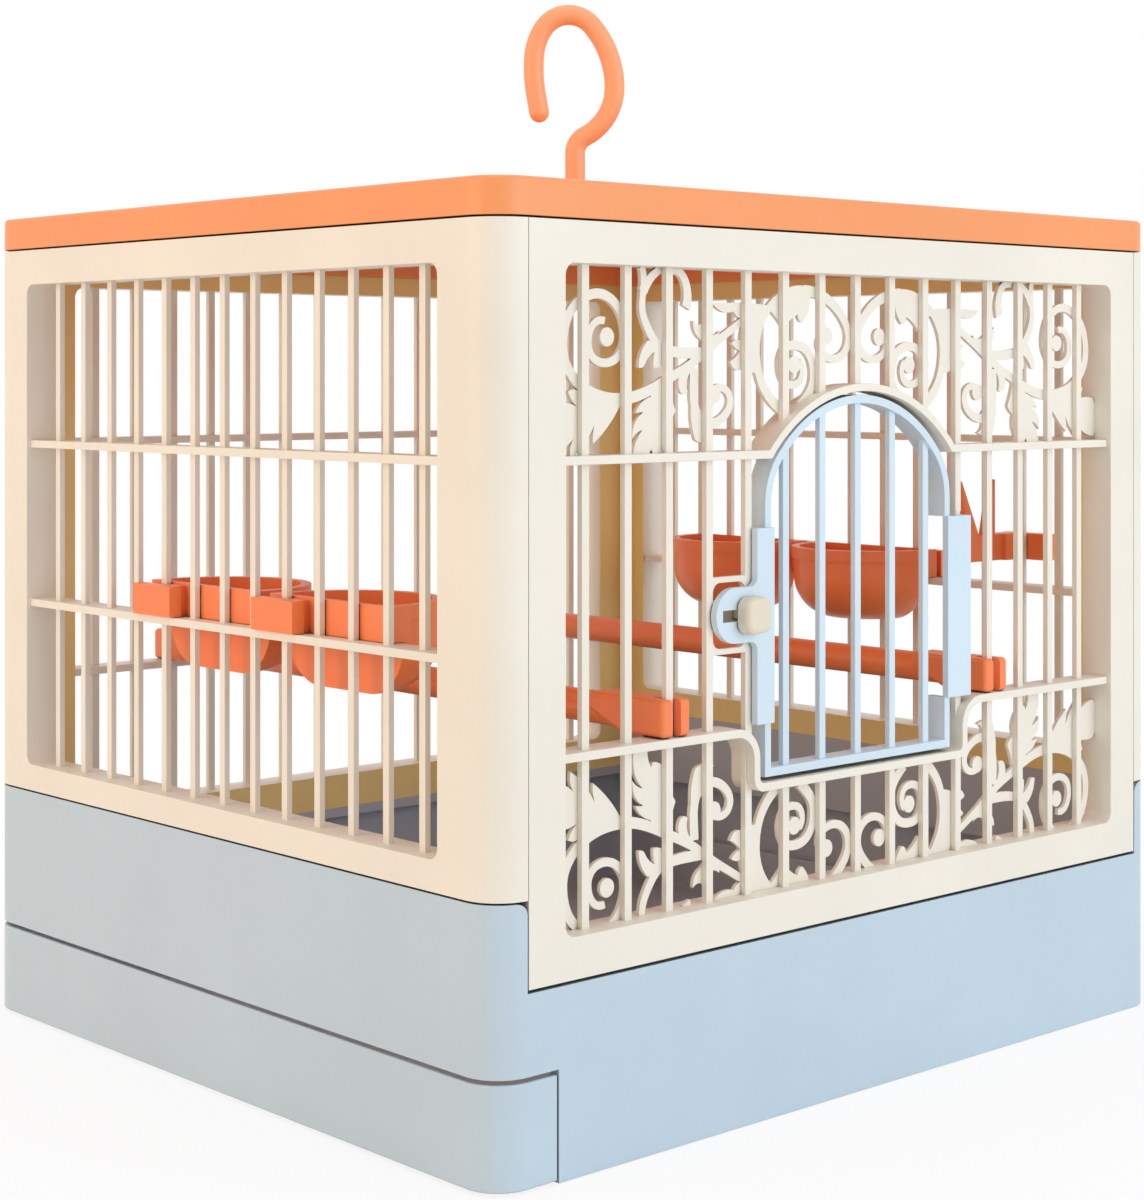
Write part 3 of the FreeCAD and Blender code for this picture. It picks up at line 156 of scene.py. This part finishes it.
class CageEdges(bpy.types.PropertyGroup):
    """How far the moulded edges are rounded."""
    panel: length_property("Panel edges", "Rounding of the panels and base", 0.5)
    bar: length_property("Bar edges", "Rounding of the bars and rails", 0.45)
    scroll: length_property("Scroll edges", "Rounding of the scrollwork", 0.24)
    fitting: length_property("Fitting edges", "Rounding of the door, cups, perches and latch", 0.5)


class CageStage(bpy.types.PropertyGroup):
    """Camera and lights of the studio."""
    camera_place: FloatVectorProperty(name="Camera place", description="Where the camera stands",
                                      subtype="XYZ", unit="LENGTH", default=(-0.48184, -0.52739, 0.18796))
    camera_turn: FloatProperty(name="Camera turn", description="Heading of the level camera",
                               subtype="ANGLE", default=math.radians(-42.34))
    lens: FloatProperty(name="Lens", description="Focal length in millimetres", default=71.73, min=1)
    rise: FloatProperty(name="Rise", description="Upright shift as a share of the frame's long side",
                        default=-0.1883)
    front_light: FloatProperty(name="Front light", description="Watts of the light on the door side",
                               default=9.5, min=0)
    side_light: FloatProperty(name="Side light", description="Watts of the light on the drawer side",
                              default=9.5, min=0)
    top_light: FloatProperty(name="Top light", description="Watts of the light over the lid",
                             default=4, min=0)
    room_light: FloatProperty(name="Room light", description="Strength of the even light all round",
                              default=0.6, min=0)


def settings(context):
    scene = context.scene
    return scene.cage_colours, scene.cage_edges, scene.cage_stage


class Tree:
    """A material's nodes, with short calls to add and join them."""

    def __init__(self, name):
        self.material = bpy.data.materials.new(name)
        self.material.use_nodes = True
        self.tree = self.material.node_tree
        self.shader = self.tree.nodes["Principled BSDF"]
        self.colour = None

    def node(self, kind, **values):
        made = self.tree.nodes.new("ShaderNode" + kind)
        for key, value in values.items():
            setattr(made, key, value)
        return made

    def link(self, source, target):
        self.tree.links.new(source, target)

    def noise(self, scale, detail, roughness):
        coords = self.node("TexCoord")
        noise = self.node("TexNoise")
        noise.inputs["Scale"].default_value = scale
        noise.inputs["Detail"].default_value = detail
        noise.inputs["Roughness"].default_value = roughness
        self.link(coords.outputs["Object"], noise.inputs["Vector"])
        return noise.outputs["Fac"]

    def ramp(self, source, low, high):
        ramp = self.node("MapRange")
        ramp.inputs["From Min"].default_value = NOISE_LOW
        ramp.inputs["From Max"].default_value = NOISE_HIGH
        ramp.inputs["To Min"].default_value = low
        ramp.inputs["To Max"].default_value = high
        self.link(source, ramp.inputs["Value"])
        return ramp.outputs["Result"]

    def painted_seam_shade_opening(self):
        """How open the surface is, for the painted shade in seams: none in the bottom of a seam, all on a
        plain face or in a corner.
        """
        nearby = self.node("AmbientOcclusion", samples=SEAM_RAYS)
        nearby.inputs["Distance"].default_value = SEAM_REACH
        ramp = self.node("MapRange", interpolation_type="SMOOTHSTEP")
        ramp.inputs["From Min"].default_value = SEAM_CLOSED
        ramp.inputs["From Max"].default_value = SEAM_OPEN
        self.link(nearby.outputs["AO"], ramp.inputs["Value"])
        return ramp.outputs["Result"]

    def mix(self, factor, first, second):
        mix = self.node("Mix", data_type="RGBA")
        self.link(factor, mix.inputs[0])
        for socket, value in ((mix.inputs[6], first), (mix.inputs[7], second)):
            if isinstance(value, bpy.types.NodeSocket):
                self.link(value, socket)
            else:
                socket.default_value = (*value, 1)
        return mix.outputs[2]


def tinted(colour, share):
    return tuple(min(1.0, channel * share) for channel in colour)


def moulded(name, colour, rough):
    """Injection-moulded plastic: faint clouding in its colour and gloss, a very fine moulded grain, and
    painted shade that darkens its seams and crevices.
    """
    tree = Tree(name)
    cloud = tree.ramp(tree.noise(*CLOUD_NOISE), 0, 1)
    clouded = tree.mix(cloud, tinted(colour, CLOUD_DARK), tinted(colour, CLOUD_LIGHT))
    # painted shade: the colour darkens to SEAM_SHADE of itself where the surface is shut in, in seams and
    # crevices
    tree.colour = tree.mix(tree.painted_seam_shade_opening(), tinted(colour, SEAM_SHADE), clouded)
    tree.link(tree.colour, tree.shader.inputs["Base Color"])
    sheen = tree.ramp(tree.noise(*SHEEN_NOISE), rough - SHEEN_LESS, rough + SHEEN_MORE)
    tree.link(sheen, tree.shader.inputs["Roughness"])
    bump = tree.node("Bump")
    bump.inputs["Strength"].default_value = GRAIN_STRENGTH
    bump.inputs["Distance"].default_value = GRAIN_DEPTH
    tree.link(tree.noise(*GRAIN_NOISE), bump.inputs["Height"])
    tree.link(bump.outputs["Normal"], tree.shader.inputs["Normal"])
    tree.shader.inputs["IOR"].default_value = PLASTIC_IOR
    return tree


def painted_light_and_shade_mask(tree, turn):
    """How squarely a face looks towards the cage's upright axis, from its normal and its place: the mask of
    the painted warm light on the panels' inner faces and of the painted shade inside the base.
    """
    coords = tree.node("TexCoord")
    flat = tree.node("VectorMath", operation="MULTIPLY")
    flat.inputs[1].default_value = (1, 1, 0)
    tree.link(coords.outputs["Object"], flat.inputs[0])
    geometry = tree.node("NewGeometry")
    facing = tree.node("VectorMath", operation="DOT_PRODUCT")
    tree.link(flat.outputs["Vector"], facing.inputs[0])
    tree.link(geometry.outputs["Normal"], facing.inputs[1])
    ramp = tree.node("MapRange", interpolation_type="SMOOTHSTEP")
    ramp.inputs["From Min"].default_value = 0
    ramp.inputs["From Max"].default_value = turn
    tree.link(facing.outputs["Value"], ramp.inputs["Value"])
    return ramp.outputs["Result"]


def near_inner_face(tree, inner):
    """Whether a place lies no further out than the panels' inner faces, by its distances along x and y,
    which bounds the painted warm light on the panels.
    """
    coords = tree.node("TexCoord")
    place = tree.node("VectorMath", operation="ABSOLUTE")
    tree.link(coords.outputs["Object"], place.inputs[0])
    parts = tree.node("SeparateXYZ")
    tree.link(place.outputs["Vector"], parts.inputs["Vector"])
    inside = tree.node("Math", operation="MULTIPLY")
    for socket, axis, limit in ((inside.inputs[0], "X", inner[0]), (inside.inputs[1], "Y", inner[1])):
        level = tree.node("Math", operation="LESS_THAN")
        level.inputs[1].default_value = limit
        tree.link(parts.outputs[axis], level.inputs[0])
        tree.link(level.outputs["Value"], socket)
    return inside.outputs["Value"]


def cream_plastic(name, colours, inner):
    """Cream plastic of a panel, with painted warm light on its face that looks into the cage."""
    tree = moulded(name, colours.cream, CREAM_ROUGH)
    share = tree.node("Math", operation="MULTIPLY")
    tree.link(painted_light_and_shade_mask(tree, PANEL_TURN), share.inputs[0])
    tree.link(near_inner_face(tree, inner), share.inputs[1])
    # painted light: faces that look into the cage take the warm ochre that stands in for the light and
    # shade there
    inside = tree.mix(share.outputs["Value"], tree.colour, colours.cream_inside_painted_light)
    tree.link(inside, tree.shader.inputs["Base Color"])
    tree.shader.inputs["Subsurface Weight"].default_value = CREAM_GLOW
    tree.shader.inputs["Subsurface Radius"].default_value = CREAM_GLOW_REACH
    return tree.material


def plain_cream(colours):
    """Cream plastic of the front's bars, rails, scrollwork and latch webs."""
    return moulded("front cream plastic", colours.cream, CREAM_ROUGH).material


def blue_plastic(colours):
    """Pale blue plastic, with painted shade in grey on the faces inside the base."""
    tree = moulded("blue plastic", colours.blue, BLUE_ROUGH)
    # painted shade: faces that look into the base take the grey that the blue shows in shade
    inside = tree.mix(painted_light_and_shade_mask(tree, BASE_TURN), tree.colour, colours.slate_and_painted_base_shade)
    tree.link(inside, tree.shader.inputs["Base Color"])
    return tree.material


def door_plastic(colours):
    return moulded("door blue plastic", colours.blue_door, DOOR_ROUGH).material


def coral_plastic(colours):
    return moulded("coral plastic", colours.coral, CORAL_ROUGH).material


def slate_plastic(colours):
    return moulded("slate plastic", colours.slate_and_painted_base_shade, SLATE_ROUGH).material


def soften(node, width, joined, corner):
    """Round a node's moulded edges, over its own joined and flattened faces."""
    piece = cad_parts[node]
    weld = piece.modifiers.new("weld", "WELD")
    weld.merge_threshold = joined
    planar = piece.modifiers.new("planar", "DECIMATE")
    planar.decimate_type = "DISSOLVE"
    planar.angle_limit = FLAT_ANGLE
    bevel = piece.modifiers.new("bevel", "BEVEL")
    bevel.width = width
    bevel.segments = EDGE_STEPS
    bevel.limit_method = "ANGLE"
    bevel.angle_limit = EDGE_ANGLE
    bevel.miter_outer = corner
    bevel.loop_slide = False
    normals = piece.modifiers.new("normals", "WEIGHTED_NORMAL")
    normals.keep_sharp = False
    for polygon in piece.data.polygons:
        polygon.use_smooth = True
    return piece


def finish(nodes, material, width, joined=JOIN, corner="MITER_SHARP"):
    """Give nodes their material and soft edges."""
    for node in nodes:
        piece = soften(node, width, joined, corner)
        piece.data.materials.clear()
        piece.data.materials.append(material)


def inner_face(node, axis):
    """How far a panel's inner face stands from the cage's upright axis."""
    return min(abs(corner[axis]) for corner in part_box(node))


class CAGE_OT_panels(bpy.types.Operator):
    """Finish the four barred panels"""
    bl_idname = "cage.panels"
    bl_label = "Panels"

    def execute(self, context):
        colours, edges, _ = settings(context)
        for nodes, axis in ((SIDE_NODES, 0), (END_NODES, 1)):
            limit = [FAR, FAR]
            limit[axis] = inner_face(nodes[0], axis) + INNER_SKIN
            plastic = cream_plastic("%s cream plastic" % nodes[0].split("_")[0], colours, limit)
            finish(nodes, plastic, edges.panel)
        return {"FINISHED"}


class CAGE_OT_front(bpy.types.Operator):
    """Finish the front's bars, rails and scrollwork"""
    bl_idname = "cage.front"
    bl_label = "Front"

    def execute(self, context):
        colours, edges, _ = settings(context)
        cream = plain_cream(colours)
        finish(FRONT_NODES, cream, edges.bar)
        finish(SCROLL_NODES, cream, edges.scroll, joined=edges.scroll * SCROLL_JOIN_SHARE,
               corner="MITER_ARC")
        return {"FINISHED"}


class CAGE_OT_base(bpy.types.Operator):
    """Finish the base, the drawer's face and its tray"""
    bl_idname = "cage.base"
    bl_label = "Base and drawer"

    def execute(self, context):
        colours, edges, _ = settings(context)
        finish(BASE_NODES, blue_plastic(colours), edges.panel)
        finish(("litter_tray",), slate_plastic(colours), edges.panel)
        return {"FINISHED"}


class CAGE_OT_lid(bpy.types.Operator):
    """Finish the lid and its hanging hook"""
    bl_idname = "cage.lid"
    bl_label = "Lid and hook"

    def execute(self, context):
        colours, edges, _ = settings(context)
        lid_plastic = moulded("orange plastic", colours.orange, ORANGE_ROUGH).material
        finish(LID_NODES, lid_plastic, edges.panel)
        hook_plastic = moulded("hook orange plastic", colours.hook, ORANGE_ROUGH).material
        finish(HOOK_NODES, hook_plastic, edges.panel)
        return {"FINISHED"}


class CAGE_OT_door(bpy.types.Operator):
    """Finish the door and its latch"""
    bl_idname = "cage.door"
    bl_label = "Door and latch"

    def execute(self, context):
        colours, edges, _ = settings(context)
        finish(DOOR_NODES, door_plastic(colours), edges.fitting)
        latch_plastic = moulded("latch cream plastic", colours.latch, LATCH_ROUGH).material
        finish(LATCH_NODES, latch_plastic, edges.fitting)
        return {"FINISHED"}


class CAGE_OT_fittings(bpy.types.Operator):
    """Finish the cups, perches and fruit fork"""
    bl_idname = "cage.fittings"
    bl_label = "Cups, perches and fork"

    def execute(self, context):
        colours, edges, _ = settings(context)
        finish(CUP_NODES + PERCH_NODES, coral_plastic(colours), edges.fitting)
        return {"FINISHED"}


def lamp(name, place, target, size, watts, colour):
    """A square soft light aimed at a point."""
    data = bpy.data.lights.new(name, "AREA")
    data.size = size
    data.energy = watts
    data.color = colour
    light = bpy.data.objects.new(name, data)
    light.location = place
    light.rotation_euler = (Vector(target) - Vector(place)).to_track_quat("-Z", "Y").to_euler()
    bpy.context.scene.collection.objects.link(light)


def seen_rays(nodes, links):
    """One for rays that show the surroundings: straight to the eye, in gloss or through something clear."""
    path = nodes.new("ShaderNodeLightPath")
    seen = path.outputs["Is Camera Ray"]
    for kind in ("Is Glossy Ray", "Is Transmission Ray"):
        either = nodes.new("ShaderNodeMath")
        either.operation = "MAXIMUM"
        links.new(seen, either.inputs[0])
        links.new(path.outputs[kind], either.inputs[1])
        seen = either.outputs["Value"]
    return seen


def studio_floor():
    """A wide pale floor that keeps a soft shadow and meets the white background."""
    mesh = bpy.data.meshes.new("floor")
    corners = [(x * FLOOR_REACH, y * FLOOR_REACH, 0) for x, y in ((-1, -1), (1, -1), (1, 1), (-1, 1))]
    mesh.from_pydata(corners, [], [(0, 1, 2, 3)])
    floor = bpy.data.objects.new("floor", mesh)
    floor.location.z = -FLOOR_DROP
    bpy.context.scene.collection.objects.link(floor)
    tree = Tree("floor")
    tree.shader.inputs["Base Color"].default_value = FLOOR_COLOUR
    tree.shader.inputs["Roughness"].default_value = FLOOR_ROUGH
    glow = tree.node("Emission")
    coords = tree.node("TexCoord")
    length = tree.node("VectorMath", operation="LENGTH")
    tree.link(coords.outputs["Object"], length.inputs[0])
    fade = tree.node("MapRange", interpolation_type="SMOOTHSTEP")
    fade.inputs["From Min"].default_value = PATCH_NEAR
    fade.inputs["From Max"].default_value = PATCH_FAR
    fade.inputs["To Min"].default_value = PATCH_SHADE
    fade.inputs["To Max"].default_value = 1
    tree.link(length.outputs["Value"], fade.inputs["Value"])
    share = tree.node("Math", operation="MULTIPLY")
    tree.link(seen_rays(tree.tree.nodes, tree.tree.links), share.inputs[0])
    tree.link(fade.outputs["Result"], share.inputs[1])
    mix = tree.node("MixShader")
    output = tree.tree.nodes["Material Output"]
    tree.link(share.outputs["Value"], mix.inputs["Fac"])
    tree.link(tree.shader.outputs["BSDF"], mix.inputs[1])
    tree.link(glow.outputs["Emission"], mix.inputs[2])
    tree.link(mix.outputs["Shader"], output.inputs["Surface"])
    mesh.materials.append(tree.material)


def studio_world(strength):
    """Even light all round, seen as plain white."""
    world = bpy.data.worlds.new("studio")
    world.use_nodes = True
    bpy.context.scene.world = world
    nodes = world.node_tree.nodes
    links = world.node_tree.links
    level = nodes.new("ShaderNodeMapRange")
    level.inputs["To Min"].default_value = strength
    level.inputs["To Max"].default_value = 1
    links.new(seen_rays(nodes, links), level.inputs["Value"])
    background = nodes["Background"]
    background.inputs["Color"].default_value = WHITE
    links.new(level.outputs["Result"], background.inputs["Strength"])


class CAGE_OT_stage(bpy.types.Operator):
    """Set up the floor, lights, camera and view"""
    bl_idname = "cage.stage"
    bl_label = "Stage"

    def execute(self, context):
        _, _, stage = settings(context)
        scene = context.scene
        scene.view_settings.view_transform = "Standard"
        studio_floor()
        studio_world(stage.room_light)
        middle = (CAD_BOX[0] + CAD_BOX[1]) / 2
        watts = {"front light": stage.front_light, "side light": stage.side_light,
                 "top light": stage.top_light}
        for name, (place, size, colour) in LAMPS.items():
            lamp(name, place, middle, size, watts[name], colour)
        data = bpy.data.cameras.new("camera")
        data.lens = stage.lens
        data.shift_y = stage.rise
        camera = bpy.data.objects.new("camera", data)
        camera.location = stage.camera_place
        camera.rotation_euler = (math.pi / 2, 0, stage.camera_turn)
        scene.collection.objects.link(camera)
        scene.camera = camera
        return {"FINISHED"}


class CAGE_PT_sidebar(bpy.types.Panel):
    """Lists the cage's settings and steps"""
    bl_label = "Bird Transport Cage"
    bl_idname = "CAGE_PT_sidebar"
    bl_space_type = "VIEW_3D"
    bl_region_type = "UI"
    bl_category = "Cage"

    def draw(self, context):
        for group in settings(context):
            column = self.layout.column()
            for name in group.__annotations__:
                column.prop(group, name)
        for operator in OPERATORS:
            self.layout.operator(operator.bl_idname)


GROUPS = {"cage_colours": CageColours, "cage_edges": CageEdges, "cage_stage": CageStage}
OPERATORS = (CAGE_OT_panels, CAGE_OT_front, CAGE_OT_base, CAGE_OT_lid, CAGE_OT_door, CAGE_OT_fittings,
             CAGE_OT_stage)
CLASSES = (*GROUPS.values(), *OPERATORS, CAGE_PT_sidebar)


def register():
    for made in CLASSES:
        bpy.utils.register_class(made)
    for name, group in GROUPS.items():
        setattr(bpy.types.Scene, name, PointerProperty(type=group))


def unregister():
    for name in GROUPS:
        delattr(bpy.types.Scene, name)
    for made in reversed(CLASSES):
        bpy.utils.unregister_class(made)


def main():
    register()
    bpy.ops.cage.panels()
    bpy.ops.cage.front()
    bpy.ops.cage.base()
    bpy.ops.cage.lid()
    bpy.ops.cage.door()
    bpy.ops.cage.fittings()
    bpy.ops.cage.stage()


if __name__ == "__main__":
    main()
